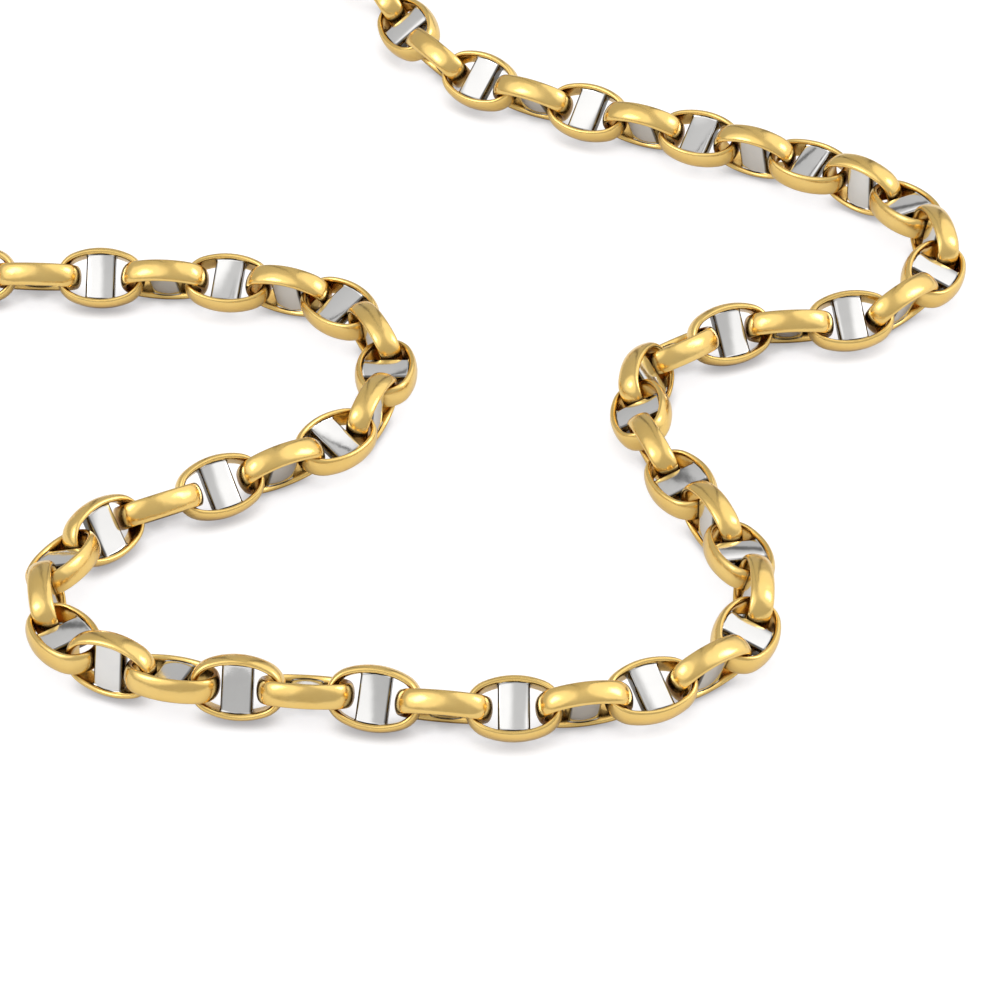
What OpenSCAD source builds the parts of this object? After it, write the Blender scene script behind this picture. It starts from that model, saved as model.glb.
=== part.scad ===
// Two-tone mariner link necklace, closed with its clasp and lying on a flat surface.
// Millimetres, +Z up, z = 0 is the surface that it lies on, the necklace is centred on the origin.
// Yellow oval bands interlock, and each has a white bar soldered across its middle.

/* [Link] */
// Length of a link over its crowns
link_length = 8.6; // [8.4:0.1:8.8]
// Width of a link over its crowns
link_width = 5.9; // [5.8:0.1:6.1]
// Outer radius of a link's ends
end_radius = 2.6; // [2.5:0.05:2.8]
// Thickness of the band at its crown
band_thickness = 0.75; // [0.6:0.05:0.8]
// Height of the band across the link's plane
band_height = 2; // [1.8:0.1:2.1]
// Flat strip inside the band, between its two bevels
inner_flat = 1.2; // [1:0.1:1.4]

/* [Cross bar] */
// Width of the bar along the link
bar_width = 2.5; // [2.2:0.1:2.6]
// Depth of the bar across the link's plane
bar_depth = 1.5; // [1:0.1:1.6]
// Bevel along the bar's long edges
bar_bevel = 0.3; // [0.2:0.05:0.5]
// Seam left between bar and band
seam = 0.12; // [0.1:0.02:0.2]

/* [Chain] */
// Links in the whole necklace, an odd number so that the clasp sits between two upright links
link_count = 81; // [81:2:83]

/* [Clasp] */
// Length of the clasp over its two eyes
clasp_length = 14; // [13:0.5:15]
// Width of the clasp at its eyes
clasp_width = 6; // [5.6:0.2:6.4]
// Thickness of the clasp
clasp_thickness = 1.8; // [1.4:0.1:2]
// Radius of the hole in each eye
eye_radius = 1.8; // [1.6:0.1:1.9]

/* [Hidden] */
// The necklace's centre line on the surface, a row for about every second link, from the clasp round to it.
// Columns: x and y in millimetres, the links' roll in degrees about the centre line, and the percentage by
// which they lie closer than elsewhere. The clasp, the first seven rows and the last seven lie outside
// the photo.
route = [
  [-82, 95, 90, 0],
  [-89.5, 80.5, 80, 0],
  [-88, 65.5, 70, 0],
  [-82.5, 53.5, 65, 0],
  [-74, 43.5, 60, 0],
  [-65, 38, 56, 0],
  [-53.5, 36, 53, 0],
  [-41, 35.5, 46, 0],
  [-28.5, 34.5, 28, 0],
  [-17, 31.5, 18, 4],
  [-10.5, 22, 5, 3],
  [-13.5, 10, -10, 2],
  [-23.5, 3.5, -36, 0],
  [-34.5, -2.5, -54, 1],
  [-40.5, -12, -70, 6],
  [-37.5, -21.5, -92, 6],
  [-26, -26, -110, 6],
  [-14, -27, -124, 2],
  [-1.5, -29, -143, 1],
  [10.5, -28, -155, 1],
  [21, -21.5, -160, 5],
  [22.5, -11, -166, 7],
  [18, -0.5, -184, 8],
  [13.5, 9.5, -203, 8],
  [14, 20.5, -214, 6],
  [23.5, 27, -223, 5],
  [36, 28.5, -240, 3],
  [43, 38, -255, 4],
  [38.5, 48.5, -268, 3],
  [28.5, 55, -283, 4],
  [17.5, 60, -296, 3],
  [6.5, 65, -306, 0],
  [-4.5, 71.5, -306, 0],
  [-10.5, 81.5, -301, 0],
  [-15, 93.5, -290, 0],
  [-20, 103.5, -285, 0],
  [-29.5, 111.5, -280, 0],
  [-41.5, 115, -280, 0],
  [-54, 115.5, -275, 0],
  [-66.5, 113, -270, 0],
  [-76.5, 106, -270, 0],
];
// Middle of the necklace's outline on the surface, which becomes the origin
middle = [-23.445, 43.402];
// The twist turns once against the route on its way round
full_twist = -360;

// Oval of a link: two end arcs and two side arcs that meet without a corner
half_length = link_length / 2;
half_width = link_width / 2;
side_radius = (half_length * half_length + half_width * half_width - 2 * half_length * end_radius)
            / (2 * (half_width - end_radius));
end_centre = half_length - end_radius;
side_centre = side_radius - half_width;
arc_split = atan2(side_centre, end_centre);

// Band section, from the link's hole outwards, with the dome as three facets
bevel_depth = band_thickness / 3;
dome_edge = band_thickness * 0.95;
dome_half = band_height * 0.22;
// Inner wall moved in, because its flats between the corners reach into the band of a round one
facet_allowance = 0.13;
// Hair's breadth that keeps the lowest corners above the surface
lift = 0.02;

// Directions in which a link's outline has a corner, more of them round its ends
quarter = [0, 40, 72];
corner_angles = concat(
  quarter,
  [90],
  [180 - quarter[2], 180 - quarter[1]],
  [for (a = quarter) 180 + a],
  [270],
  [360 - quarter[2], 360 - quarter[1]]
);

// Centre line cut into short steps
steps = 12;
row_count = len(route);
sample_count = row_count * steps;

// Distance from the clasp's middle to the middle of the link in its eye
clasp_reach = clasp_length / 2 + 1.6;
// The clasp's body is narrower than its eyes by this much on each side
clasp_waist = 0.5;
// Length by which the eyes' holes are cut past the clasp's faces
cut = 1;

// Row of the closed route, with the twist carried on past its ends
function row(i) =
  let (lap = floor(i / row_count))
  route[i - lap * row_count] + [0, 0, lap * full_twist, 0];

// Smooth curve through four rows, between the second and the third
function curve(a, b, c, d, u) =
  0.5 * (2 * b + (c - a) * u + (2 * a - 5 * b + 4 * c - d) * u * u + (3 * b - a - 3 * c + d) * u * u * u);

function sample(k) =
  let (i = floor(k / steps))
  curve(row(i - 1), row(i), row(i + 1), row(i + 2), k / steps - i);

samples = [for (k = [0:sample_count]) sample(k)];

// Length of the step from a sample to the next
function step_length(k) = norm([sample(k + 1).x - sample(k).x, sample(k + 1).y - sample(k).y]);

// Length along the route at each sample, then the same with the stretches of closer links counted longer
lengths = [for (k = 0, s = 0; k <= sample_count; s = s + step_length(k), k = k + 1) s];
loads = [
  for (k = 0, s = 0; k <= sample_count; s = s + step_length(k) * (1 + samples[k][3] / 100), k = k + 1) s
];
load_at_length = [for (k = [0:sample_count]) [lengths[k], loads[k]]];
x_at_load = [for (k = [0:sample_count]) [loads[k], samples[k].x]];
y_at_load = [for (k = [0:sample_count]) [loads[k], samples[k].y]];
twist_at_load = [for (k = [0:sample_count]) [loads[k], samples[k].z]];

// Joints, where one link's end passes through the next
first_load = lookup(clasp_reach, load_at_length);
last_load = lookup(lengths[sample_count] - clasp_reach, load_at_length);
pitch_load = (last_load - first_load) / (link_count - 1);

function joint_load(j) = first_load + (j - 0.5) * pitch_load;
function joint_twist(j) = lookup(joint_load(j), twist_at_load);

// Height at which a link rolled by an angle rests on the surface, and the higher of it and its neighbour
function support(roll) =
  max([for (p = section) (half_width - p.x) * abs(sin(roll)) + abs(p.y) * abs(cos(roll))]);
function rest_height(twist) = max(support(twist), support(twist + 90)) + lift;
function joint(j) = [
  lookup(joint_load(j), x_at_load),
  lookup(joint_load(j), y_at_load),
  rest_height(joint_twist(j)),
];

function link_middle(k) = (joint(k) + joint(k + 1)) / 2;
function unit(v) = v / norm(v);
function link_roll(k) = (joint_twist(k) + joint_twist(k + 1)) / 2 + (k % 2 == 1 ? 90 : 0);

// Places its children along link k: x along the chain, y along the cross bar
module at_link(k) {
  along = unit(joint(k + 1) - joint(k));
  right = unit(cross(along, [0, 0, 1]));
  up = cross(right, along);
  across = cos(link_roll(k)) * right - sin(link_roll(k)) * up;
  normal = cross(along, across);
  c = link_middle(k);
  multmatrix([
    [along.x, across.x, normal.x, c.x],
    [along.y, across.y, normal.y, c.y],
    [along.z, across.z, normal.z, c.z],
    [0, 0, 0, 1],
  ]) children();
}

function sign_of(v) = v < 0 ? -1 : 1;

// Point of the link's oval whose outward direction is angle a, moved in by inset
function oval_point(a, inset) =
  let (direction = atan2(abs(sin(a)), abs(cos(a))), ends = direction <= arc_split)
  let (radius = (ends ? end_radius : side_radius) - inset)
  let (px = (ends ? end_centre : 0) + radius * cos(direction))
  let (py = (ends ? 0 : -side_centre) + radius * sin(direction))
  [sign_of(cos(a)) * px, sign_of(sin(a)) * py];

// Section points: inset from the crown, height across the link's plane
section = [
  [band_thickness - facet_allowance, -inner_flat / 2],
  [band_thickness - bevel_depth, -band_height / 2],
  [band_thickness - dome_edge, -dome_half],
  [band_thickness - dome_edge, dome_half],
  [band_thickness - bevel_depth, band_height / 2],
  [band_thickness - facet_allowance, inner_flat / 2],
];

module link_band() {
  sides = len(section);
  corners = len(corner_angles);
  polyhedron(
    points = [for (a = corner_angles) for (p = section) let (o = oval_point(a, p.x)) [o.x, o.y, p.y]],
    faces = [
      for (c = [0:corners - 1]) for (s = [0:sides - 1])
        let (n = (c + 1) % corners, t = (s + 1) % sides)
        [c * sides + s, n * sides + s, n * sides + t, c * sides + t]
    ],
    convexity = 4
  );
}

module gold_links() {
  color("gold") translate([-middle.x, -middle.y, 0])
    for (k = [0:link_count - 1]) at_link(k) link_band();
}

// Half length of a bar, so that its corners keep the seam to the flat inside the band
inner_middle = oval_point(90, band_thickness - facet_allowance);
inner_corner = oval_point(quarter[2], band_thickness - facet_allowance);
inner_slope = (inner_middle.y - inner_corner.y) / inner_corner.x;
bar_half = inner_middle.y - inner_slope * bar_width / 2 - seam;

module cross_bar() {
  w = bar_width / 2;
  d = bar_depth / 2;
  rotate([90, 0, 0]) linear_extrude(height = 2 * bar_half, center = true)
    polygon([
      [-w, -d + bar_bevel],
      [-w + bar_bevel, -d],
      [w - bar_bevel, -d],
      [w, -d + bar_bevel],
      [w, d - bar_bevel],
      [w - bar_bevel, d],
      [-w + bar_bevel, d],
      [-w, d - bar_bevel],
    ]);
}

module white_bars() {
  color("gainsboro") translate([-middle.x, -middle.y, 0])
    for (k = [0:link_count - 1]) at_link(k) cross_bar();
}

// Flat body with an eye at each end, which the two upright end links pass through at half their height
module clasp() {
  first = joint(0);
  last = joint(link_count);
  centre = (first + last) / 2;
  heading = atan2(first.y - last.y, first.x - last.x);
  eye = clasp_width / 2;
  eye_x = clasp_length / 2 - eye;
  color("gold") translate([centre.x - middle.x, centre.y - middle.y, half_width - clasp_thickness / 2])
    rotate([0, 0, heading])
    difference() {
      union() {
        translate([-eye_x, 0, 0]) cylinder(h = clasp_thickness, r = eye, $fn = 64);
        translate([eye_x, 0, 0]) cylinder(h = clasp_thickness, r = eye, $fn = 64);
        translate([-eye_x, clasp_waist - eye, 0])
          cube([2 * eye_x, clasp_width - 2 * clasp_waist, clasp_thickness]);
      }
      translate([-eye_x, 0, -cut]) cylinder(h = clasp_thickness + 2 * cut, r = eye_radius, $fn = 64);
      translate([eye_x, 0, -cut]) cylinder(h = clasp_thickness + 2 * cut, r = eye_radius, $fn = 64);
    }
}

gold_links();
white_bars();
clasp();
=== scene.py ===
import math

import bmesh
import bpy
import numpy as np
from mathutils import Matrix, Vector


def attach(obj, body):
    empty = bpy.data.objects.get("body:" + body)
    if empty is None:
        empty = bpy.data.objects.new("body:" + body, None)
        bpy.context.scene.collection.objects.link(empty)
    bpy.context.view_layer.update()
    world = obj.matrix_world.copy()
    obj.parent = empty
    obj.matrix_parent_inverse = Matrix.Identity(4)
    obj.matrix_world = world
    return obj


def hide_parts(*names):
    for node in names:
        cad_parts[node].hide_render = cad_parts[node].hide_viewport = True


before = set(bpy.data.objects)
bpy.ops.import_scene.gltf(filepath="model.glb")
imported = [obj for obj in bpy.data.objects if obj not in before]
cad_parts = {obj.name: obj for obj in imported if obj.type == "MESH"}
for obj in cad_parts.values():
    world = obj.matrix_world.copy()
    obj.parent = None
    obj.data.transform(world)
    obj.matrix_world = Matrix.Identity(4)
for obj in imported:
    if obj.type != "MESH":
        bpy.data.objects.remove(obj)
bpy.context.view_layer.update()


# Where the links lie
# The necklace is one closed chain, laid in an S by hand on a flat surface, each link turned about a
# quarter turn to the next. Every link's place is read off the bar that is soldered across its middle.
MM = 0.001
SAME_POINT = 0.001 * MM


def loose_solids(node):
    """Corner points of each separate solid in a node of the frame, one array for each solid."""
    mesh = bmesh.new()
    mesh.from_mesh(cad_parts[node].data)
    bmesh.ops.remove_doubles(mesh, verts=mesh.verts, dist=SAME_POINT)
    solids, seen = [], set()
    for first in mesh.verts:
        if first in seen:
            continue
        solid, to_visit = [], [first]
        seen.add(first)
        while to_visit:
            corner = to_visit.pop()
            solid.append(corner.co[:])
            for edge in corner.link_edges:
                other = edge.other_vert(corner)
                if other not in seen:
                    seen.add(other)
                    to_visit.append(other)
        solids.append(np.array(solid))
    mesh.free()
    return solids


def link_place(bar_corners):
    """Middle of a link and its three directions: along the chain, along the bar, and out of its plane."""
    middle = bar_corners.mean(axis=0)
    directions = np.linalg.eigh(np.cov((bar_corners - middle).T))[1]
    along, across = directions[:, 1], directions[:, 2]
    return middle, np.array([along, across, np.cross(along, across)])


places = [link_place(corners) for corners in loose_solids("white_bars")]


def mesh_of_links(name, points, faces):
    """One mesh with a copy of a link's points and faces at every place in the chain."""
    count = len(points)
    all_points = np.vstack([middle + points @ directions for middle, directions in places])
    starts = range(0, len(places) * count, count)
    all_faces = [tuple(start + corner for corner in face) for start in starts for face in faces]
    mesh = bpy.data.meshes.new(name)
    mesh.from_pydata(all_points.tolist(), [], all_faces)
    mesh.shade_smooth()
    piece = bpy.data.objects.new(name, mesh)
    bpy.context.scene.collection.objects.link(piece)
    return piece


# Yellow gold bands
# Each is an oval of half-round 14 karat wire, bent with its flat side inwards through the last link,
# soldered shut, and polished to a soft mirror, in which the hand work leaves slow waves and fine marks.
LINK_LENGTH = 8.6 * MM
LINK_WIDTH = 5.9 * MM
END_RADIUS = 2.6 * MM
WIRE_THICKNESS = 0.75 * MM
WIRE_HEIGHT = 2.2 * MM
WIDEST_AT = WIRE_THICKNESS * 0.6
INNER_FLAT = 1.0 * MM
EDGE_FULLNESS = 0.8
DOME_STEP = 15
END_STEPS = 8
SIDE_STEPS = 6
HALF_LENGTH = LINK_LENGTH / 2
HALF_WIDTH = LINK_WIDTH / 2
SIDE_RADIUS = (HALF_LENGTH**2 + HALF_WIDTH**2 - LINK_LENGTH * END_RADIUS) / (LINK_WIDTH - 2 * END_RADIUS)
END_CENTRE = HALF_LENGTH - END_RADIUS
SIDE_CENTRE = SIDE_RADIUS - HALF_WIDTH
ARC_SPLIT = math.atan2(SIDE_CENTRE, END_CENTRE)


def oval_point(angle, inset):
    """Point of the link's oval whose outward direction is the angle, moved in by the inset."""
    cosine, sine = math.cos(angle), math.sin(angle)
    direction = math.atan2(abs(sine), abs(cosine))
    if direction <= ARC_SPLIT:
        x = END_CENTRE + (END_RADIUS - inset) * math.cos(direction)
        y = (END_RADIUS - inset) * math.sin(direction)
    else:
        x = (SIDE_RADIUS - inset) * math.cos(direction)
        y = (SIDE_RADIUS - inset) * math.sin(direction) - SIDE_CENTRE
    return math.copysign(x, cosine), math.copysign(y, sine)


def wire_section():
    """Insets and heights round the wire: the dome outside, two eased edges and the flat inside."""
    half_height, half_flat = WIRE_HEIGHT / 2, INNER_FLAT / 2
    dome_angles = [math.radians(a) for a in range(-90, 91, DOME_STEP)]
    edge_angles = [math.radians(a) for a in (22, 45, 68, 90)]
    dome = [(WIDEST_AT * (1 - math.cos(a)), half_height * math.sin(a)) for a in dome_angles]
    upper = [
        (
            WIDEST_AT + (WIRE_THICKNESS - WIDEST_AT) * math.sin(a) ** EDGE_FULLNESS,
            half_flat + (half_height - half_flat) * math.cos(a) ** EDGE_FULLNESS,
        )
        for a in edge_angles
    ]
    inside = [(WIRE_THICKNESS, half_flat * share) for share in (0.5, 0, -0.5)]
    lower = [(inset, -height) for inset, height in reversed(upper)]
    return dome + upper + inside + lower


def ring_faces(rings, sides, closed):
    """Faces between rings of points, each ring with the given number of sides."""
    last = rings if closed else rings - 1
    return [
        (
            ring * sides + side,
            (ring + 1) % rings * sides + side,
            (ring + 1) % rings * sides + (side + 1) % sides,
            ring * sides + (side + 1) % sides,
        )
        for ring in range(last)
        for side in range(sides)
    ]


end_angles = np.linspace(0, ARC_SPLIT, END_STEPS)[:-1]
side_angles = np.linspace(ARC_SPLIT, math.pi / 2, SIDE_STEPS)
quadrant = np.concatenate([end_angles, side_angles])
half = np.concatenate([quadrant, math.pi - quadrant[-2:0:-1]])
round_the_link = np.concatenate([half, half + math.pi])
section = wire_section()
band_points = np.array(
    [oval_point(angle, inset) + (height,) for angle in round_the_link for inset, height in section]
)
band_faces = ring_faces(len(round_the_link), len(section), closed=True)
bands = mesh_of_links("yellow_gold_bands", band_points, band_faces)


def feed(node, inputs):
    """Sets each input of a shader node to its value, or links it where the value is a node's output."""
    for name, value in inputs.items():
        if isinstance(value, bpy.types.NodeSocket):
            node.id_data.links.new(value, node.inputs[name])
        else:
            node.inputs[name].default_value = value


def add_node(tree, kind, output, inputs, **settings):
    """The named output of a new shader node, with its settings made and its inputs fed."""
    node = tree.nodes.new("ShaderNode" + kind)
    for name, value in settings.items():
        setattr(node, name, value)
    feed(node, inputs)
    return node.outputs[output]


# How far off a surface counts as closing it in for painted shade, and how large the finish's clouds, waves
# and marks are
PAINTED_SHADE_REACH = 1.2 * MM
PAINTED_SHADE_BELOW = 0.25
PAINTED_SHADE_CLEAR_ABOVE = 0.85
TINT_CLOUD = 2.5 * MM
GLOSS_CLOUD = 0.7 * MM
CLOUD_LOW = 0.3
CLOUD_HIGH = 0.7
GLOSSIEST = 0.75
DULLEST = 1.3
HAND_WAVE = 1.5 * MM
RUB_MARK = 0.15 * MM
RUB_DEPTH = 0.003 * MM
RUB_STRENGTH = 0.5


def polished_metal(name, colour, deep_colour, painted_shade_colour, roughness, wave_height):
    """Polished metal with cloudy colour, slow waves and fine rubbing marks. Painted shade darkens its
    colour towards the shade colour in the hollows between the links, found by ambient occlusion, and on
    edges marked for a painted dark reflection."""
    metal = bpy.data.materials.new(name)
    metal.use_nodes = True
    tree = metal.node_tree
    place = add_node(tree, "TexCoord", "Object", {})

    def clouds(size, detail):
        """Noise whose clouds are about as wide as the size."""
        return add_node(tree, "TexNoise", "Fac", {"Vector": place, "Scale": 1 / size, "Detail": detail})

    tint = add_node(
        tree,
        "Mix",
        "Result",
        {"Factor": clouds(TINT_CLOUD, 3), "A": colour + (1,), "B": deep_colour + (1,)},
        data_type="RGBA",
    )
    # Painted shade: the colour goes towards the dark shade colour where ambient occlusion finds a hollow
    # between links
    openness_for_painted_shade = add_node(tree, "AmbientOcclusion", "AO", {"Distance": PAINTED_SHADE_REACH}, samples=8)
    clear_of_painted_shade = add_node(
        tree,
        "MapRange",
        "Result",
        {"Value": openness_for_painted_shade, "From Min": PAINTED_SHADE_BELOW, "From Max": PAINTED_SHADE_CLEAR_ABOVE},
        interpolation_type="SMOOTHSTEP",
    )
    # Painted dark reflection: points marked in this attribute take the dark shade colour as well
    painted_dark_edge = add_node(tree, "Attribute", "Fac", {}, attribute_name="painted_dark_edge")
    share_without_painted_shade = add_node(tree, "Math", "Value", {0: clear_of_painted_shade, 1: painted_dark_edge}, operation="SUBTRACT", use_clamp=True)
    shade = add_node(
        tree, "Mix", "Result", {"Factor": share_without_painted_shade, "A": painted_shade_colour + (1,), "B": tint}, data_type="RGBA"
    )
    gloss = add_node(
        tree,
        "MapRange",
        "Result",
        {
            "Value": clouds(GLOSS_CLOUD, 4),
            "From Min": CLOUD_LOW,
            "From Max": CLOUD_HIGH,
            "To Min": roughness * GLOSSIEST,
            "To Max": roughness * DULLEST,
        },
    )
    waves = add_node(tree, "Bump", "Normal", {"Height": clouds(HAND_WAVE, 1.5), "Distance": wave_height})
    marks = add_node(
        tree,
        "Bump",
        "Normal",
        {"Height": clouds(RUB_MARK, 5), "Strength": RUB_STRENGTH, "Distance": RUB_DEPTH, "Normal": waves},
    )
    surface = tree.nodes["Principled BSDF"]
    feed(surface, {"Metallic": 1, "Base Color": shade, "Roughness": gloss, "Normal": marks})
    return metal


yellow_gold = polished_metal(
    "polished yellow gold",
    colour=(0.93, 0.67, 0.25),
    deep_colour=(0.88, 0.58, 0.17),
    # dark brown of the painted shade in the hollows between links
    painted_shade_colour=(0.26, 0.11, 0.02),
    roughness=0.2,
    wave_height=0.05 * MM,
)
bands.data.materials.append(yellow_gold)
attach(bands, "root")
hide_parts("gold_links")


# White gold bars
# A slightly crowned bar of white gold, eased along its edges, is soldered across the middle of every
# link, a little below the rims of its band, with a small fillet of solder at each end.
BAR_WIDTH = 2.8 * MM
BAR_DEPTH = 1.5 * MM
BAR_EASE = 0.26 * MM
BAR_CROWN = 0.1 * MM
CROWN_POINTS = 9
SOLDER_HEIGHT = 0.1 * MM
SOLDER_REACH = 0.2 * MM
INTO_WIRE = 0.03 * MM


def bar_outline(grow):
    """Points round the bar's section, grown by a length: crowned faces, eased edges and plain sides."""
    w, d = BAR_WIDTH / 2 + grow, BAR_DEPTH / 2 + grow
    rim = d - BAR_CROWN
    face = [(x * (w - BAR_EASE), d - BAR_CROWN * x * x) for x in np.linspace(1, -1, CROWN_POINTS)]
    ease = [math.radians(a) for a in (30, 60, 90)]
    left = [(-w + BAR_EASE * (1 - math.sin(a)), rim - BAR_EASE * (1 - math.cos(a))) for a in ease]
    upper = [(-x, z) for x, z in reversed(left)] + face + left
    return upper + [(x, -z) for x, z in reversed(upper)]


def wall_at(x):
    """Distance from the link's middle line to the inside of its band, at a place along the link."""
    return math.sqrt((SIDE_RADIUS - WIRE_THICKNESS) ** 2 - x**2) - SIDE_CENTRE


# The solder's fillet: how far along its reach, and what share of its height it still has there
solder_fillet = [(0, 1), (0.25, 0.45), (0.6, 0.1), (1, 0)]
bar_points = []
for end, fillet in ((-1, solder_fillet), (1, solder_fillet[::-1])):
    for reach, height in fillet:
        from_end = reach * SOLDER_REACH - INTO_WIRE
        outline = bar_outline(height * SOLDER_HEIGHT)
        bar_points += [(x, end * (wall_at(x) - from_end), z) for x, z in outline]
bar_points = np.array(bar_points)
corners = len(bar_outline(0))
bar_ends = [tuple(range(corners)), tuple(reversed(range(len(bar_points) - corners, len(bar_points))))]
bar_sides = ring_faces(len(bar_points) // corners, corners, closed=False)
bars = mesh_of_links("white_gold_bars", bar_points, bar_ends + bar_sides)

# Painted dark reflection: the eased edges and the sides are marked to take the dark shade colour, and only
# the two faces keep the metal's own colour
on_face = [abs(x) < BAR_WIDTH / 2 - BAR_EASE + SOLDER_HEIGHT / 2 for x, y, z in bar_points]
painted_dark_edge_values = bars.data.attributes.new("painted_dark_edge", "FLOAT", "POINT")
painted_dark_edge_values.data.foreach_set("value", [0.0 if face else 1.0 for face in on_face] * len(places))
white_gold = polished_metal(
    "polished white gold",
    colour=(0.86, 0.85, 0.83),
    deep_colour=(0.76, 0.75, 0.74),
    # near black of the painted shade in the hollows and on the bars' edges
    painted_shade_colour=(0.16, 0.155, 0.15),
    roughness=0.1,
    wave_height=0.012 * MM,
)
bars.data.materials.append(white_gold)
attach(bars, "root")
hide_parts("white_bars")


# Clasp
# A plain flat gold body with an eye at each end, which the two end links pass through. It is sawn out of
# sheet, and all its edges are rounded over before it is polished.
CLASP_LENGTH = 14 * MM
CLASP_WIDTH = 6 * MM
CLASP_WAIST = 0.5 * MM
CLASP_EYE = 1.8 * MM
CLASP_EASE = 0.35 * MM
CLASP_SHARP = math.radians(35)
ARC_POINTS = 49
clasp_corners = np.array([corner.co[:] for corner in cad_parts["clasp"].data.vertices])
clasp_low, clasp_high = clasp_corners.min(axis=0), clasp_corners.max(axis=0)
clasp_middle = (clasp_low + clasp_high) / 2
clasp_half = (clasp_high[2] - clasp_low[2]) / 2
clasp_along = np.linalg.eigh(np.cov((clasp_corners - clasp_corners.mean(axis=0))[:, :2].T))[1][:, 1]
clasp_across = np.array([-clasp_along[1], clasp_along[0]])
eye_at = (CLASP_LENGTH - CLASP_WIDTH) / 2


def clasp_outline(inset):
    """The clasp's outer edge moved in by the inset: an arc round each eye, and a straight waist."""
    radius, waist = CLASP_WIDTH / 2 - inset, CLASP_WIDTH / 2 - CLASP_WAIST - inset
    meets = math.pi - math.asin(waist / radius)
    arc = np.linspace(-meets, meets, ARC_POINTS)
    right = [(eye_at + radius * math.cos(a), radius * math.sin(a)) for a in arc]
    return right + [(-x, -y) for x, y in right]


def clasp_hole(side, inset):
    """The edge of one eye, moved out into the metal by the inset."""
    radius = CLASP_EYE + inset
    turn = np.linspace(0, 2 * math.pi, ARC_POINTS)[:-1]
    return [(side * eye_at + radius * math.cos(a), radius * math.sin(a)) for a in turn]


ease = [math.radians(a) for a in (0, 22.5, 45, 67.5, 90)]
levels = [(CLASP_EASE * (1 - math.sin(a)), clasp_half - CLASP_EASE * (1 - math.cos(a))) for a in ease]
levels += [(inset, -height) for inset, height in reversed(levels)]
clasp_mesh = bmesh.new()
for edge_line in (clasp_outline, lambda inset: clasp_hole(-1, inset), lambda inset: clasp_hole(1, inset)):
    rows = []
    for inset, height in levels:
        flat = np.array(edge_line(inset))
        flat = clasp_middle[:2] + flat[:, :1] * clasp_along + flat[:, 1:] * clasp_across
        rows.append([clasp_mesh.verts.new((x, y, clasp_middle[2] + height)) for x, y in flat])
    for upper_row, lower_row in zip(rows, rows[1:]):
        for here in range(len(upper_row)):
            following = (here + 1) % len(upper_row)
            below = (lower_row[here], lower_row[following])
            clasp_mesh.faces.new((upper_row[here],) + below + (upper_row[following],))
rims = [edge for edge in clasp_mesh.edges if edge.is_boundary]
for upward in (True, False):
    rim = [edge for edge in rims if (edge.verts[0].co.z > clasp_middle[2]) == upward]
    bmesh.ops.triangle_fill(clasp_mesh, edges=rim, use_beauty=True, normal=(0, 0, 1 if upward else -1))
bmesh.ops.recalc_face_normals(clasp_mesh, faces=clasp_mesh.faces)
clasp_data = bpy.data.meshes.new("clasp_body")
clasp_mesh.to_mesh(clasp_data)
clasp_mesh.free()
clasp_data.shade_smooth()
clasp_data.set_sharp_from_angle(angle=CLASP_SHARP)
clasp = bpy.data.objects.new("clasp_body", clasp_data)
bpy.context.scene.collection.objects.link(clasp)
clasp_data.materials.append(yellow_gold)
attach(clasp, "root")
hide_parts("clasp")


# Floor
# A sheet of matt white paper. Seen straight it glows white with painted light, and the glow is dimmed near
# the chain, which paints a faint grey shadow round it. In the metal it is reflected as plain paper, without
# the glow.
HALF_FLOOR = 2.0
FLOOR_LEVEL = -0.16 * MM
SHADE_REACH = 2 * MM
SHADED_BELOW = 0.3
CLEAR_ABOVE = 0.8
PAPER = (0.9, 0.9, 0.9, 1)
PAPER_SEEN = (0.35, 0.35, 0.35, 1)
PAINTED_GLOW_IN_SHADOW = 0.35
PAINTED_GLOW_IN_THE_OPEN = 0.78
floor_mesh = bpy.data.meshes.new("floor")
floor_sides = ((-1, -1), (1, -1), (1, 1), (-1, 1))
floor_corners = [(x * HALF_FLOOR, y * HALF_FLOOR, FLOOR_LEVEL) for x, y in floor_sides]
floor_mesh.from_pydata(floor_corners, [], [(0, 1, 2, 3)])
floor = bpy.data.objects.new("floor", floor_mesh)
bpy.context.scene.collection.objects.link(floor)
paper = bpy.data.materials.new("white paper")
paper.use_nodes = True
openness_for_painted_shade = add_node(paper.node_tree, "AmbientOcclusion", "AO", {"Distance": SHADE_REACH}, samples=8)
# Painted shadow: the paper's painted glow is dimmed where ambient occlusion finds the chain close by
painted_glow = add_node(
    paper.node_tree,
    "MapRange",
    "Result",
    {
        "Value": openness_for_painted_shade,
        "From Min": SHADED_BELOW,
        "From Max": CLEAR_ABOVE,
        "To Min": PAINTED_GLOW_IN_SHADOW,
        "To Max": PAINTED_GLOW_IN_THE_OPEN,
    },
    interpolation_type="SMOOTHSTEP",
)
seen = add_node(paper.node_tree, "LightPath", "Is Camera Ray", {})
painted_glow_seen = add_node(paper.node_tree, "Math", "Value", {0: painted_glow, 1: seen}, operation="MULTIPLY")
paper_shade = add_node(
    paper.node_tree, "Mix", "Result", {"Factor": seen, "A": PAPER, "B": PAPER_SEEN}, data_type="RGBA"
)
feed(
    paper.node_tree.nodes["Principled BSDF"],
    {
        "Base Color": paper_shade,
        "Roughness": 0.7,
        "Emission Color": (0.985, 0.98, 1, 1),
        "Emission Strength": painted_glow_seen,
    },
)
floor_mesh.materials.append(paper)


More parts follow.
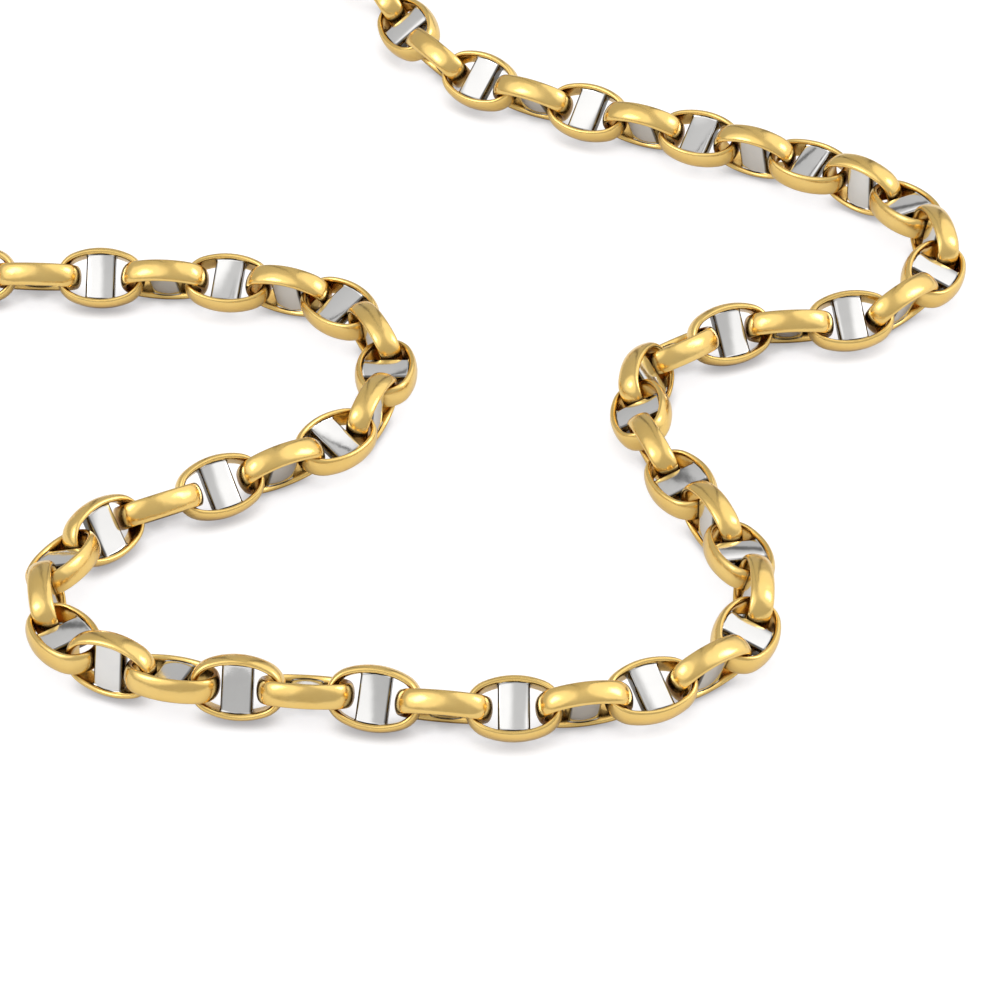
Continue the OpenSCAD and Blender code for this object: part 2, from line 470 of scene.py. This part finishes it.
# Light
# A tent of grey cloth, a little brighter at the top. Each side has a bright round panel with a lamp in
# front of it, and two dark seams run up the back. Azimuth 0 is behind the chain, and 90 to its right.
LAMP_DISTANCE = 0.7
LAMP_SIZE = (0.22, 0.3)
CLOTH_LOW = 0.54
CLOTH_TO_THE_TOP = 0.16
PANEL_GLOW = 0.56
PANEL_BLUR = math.radians(5)
SEAM_AT = math.radians(14)
SEAM_HALF = math.radians(1.5)
SEAM_BLUR = math.radians(1.5)
SEAM_DEPTH = 0.75
target = Vector((23.445, -43.402, 2.95)) * MM


def towards(azimuth, elevation):
    """Direction from the chain at an azimuth and an elevation in degrees."""
    a, e = math.radians(azimuth), math.radians(elevation)
    return Vector((math.sin(a) * math.cos(e), math.cos(a) * math.cos(e), math.sin(e)))


for name, azimuth, elevation, power in (("right lamp", 85, 38, 0.7), ("left lamp", -112, 42, 0.6)):
    lamp = bpy.data.lights.new(name, "AREA")
    lamp.shape = "RECTANGLE"
    lamp.size, lamp.size_y = LAMP_SIZE
    lamp.energy = power
    holder = bpy.data.objects.new(name, lamp)
    holder.location = target + towards(azimuth, elevation) * LAMP_DISTANCE
    holder.rotation_euler = towards(azimuth, elevation).to_track_quat("Z", "Y").to_euler()
    bpy.context.scene.collection.objects.link(holder)

world = bpy.data.worlds.new("studio")
bpy.context.scene.world = world
world.use_nodes = True
direction = add_node(world.node_tree, "TexCoord", "Generated", {})
across = add_node(world.node_tree, "SeparateXYZ", "X", {"Vector": direction})
inwards = add_node(world.node_tree, "SeparateXYZ", "Y", {"Vector": direction})
upwards = add_node(world.node_tree, "SeparateXYZ", "Z", {"Vector": direction})


def calculated(operation, *values):
    """Output of a math node on one or two values."""
    return add_node(world.node_tree, "Math", "Value", dict(enumerate(values)), operation=operation)


def blend(value, low, high, result_low, result_high):
    """Output that goes smoothly from one result to the other while the value goes from low to high."""
    ends = {"From Min": low, "From Max": high, "To Min": result_low, "To Max": result_high}
    inputs = {"Value": value, **ends}
    return add_node(world.node_tree, "MapRange", "Result", inputs, interpolation_type="SMOOTHSTEP")


def panel(azimuth, elevation, radius):
    """Light of a round panel that is seen under a radius in degrees, and 0 outside it."""
    middle = tuple(towards(azimuth, elevation))
    pair = {0: direction, 1: middle}
    facing = add_node(world.node_tree, "VectorMath", "Value", pair, operation="DOT_PRODUCT")
    edge = math.radians(radius)
    return blend(facing, math.cos(edge + PANEL_BLUR), math.cos(edge - PANEL_BLUR), 0.0, PANEL_GLOW)


height_squared = calculated("MULTIPLY", upwards, upwards)
cloth = calculated("ADD", calculated("MULTIPLY", height_squared, CLOTH_TO_THE_TOP), CLOTH_LOW)
right_panel = panel(azimuth=75, elevation=40, radius=41)
left_panel = panel(azimuth=-115, elevation=45, radius=34)
off_middle = calculated("ABSOLUTE", calculated("ARCTAN2", across, inwards))
off_seam = calculated("ABSOLUTE", calculated("SUBTRACT", off_middle, SEAM_AT))
seams = blend(off_seam, SEAM_HALF, SEAM_HALF + SEAM_BLUR, 1 - SEAM_DEPTH, 1.0)
bright_tent = calculated("ADD", cloth, calculated("ADD", right_panel, left_panel))
tent = calculated("MULTIPLY", bright_tent, seams)
feed(world.node_tree.nodes["Background"], {"Color": (1, 1, 1, 1), "Strength": tent})


# Camera
# It looks down on the front of the chain from some way off, with a long lens, as in the photo.
SENSOR_WIDTH = 36
LENS = 184.2
CAMERA_DISTANCE = 0.466
CAMERA_ELEVATION = 38
CAMERA_FRONT = 180
camera_data = bpy.data.cameras.new("camera")
camera_data.sensor_width = SENSOR_WIDTH
camera_data.lens = LENS
camera_data.clip_start = 10 * MM
camera = bpy.data.objects.new("camera", camera_data)
bpy.context.scene.collection.objects.link(camera)
camera.location = target + towards(CAMERA_FRONT, CAMERA_ELEVATION) * CAMERA_DISTANCE
camera.rotation_euler = (math.pi / 2 - math.radians(CAMERA_ELEVATION), 0, 0)
bpy.context.scene.camera = camera
bpy.context.scene.view_settings.view_transform = "Standard"
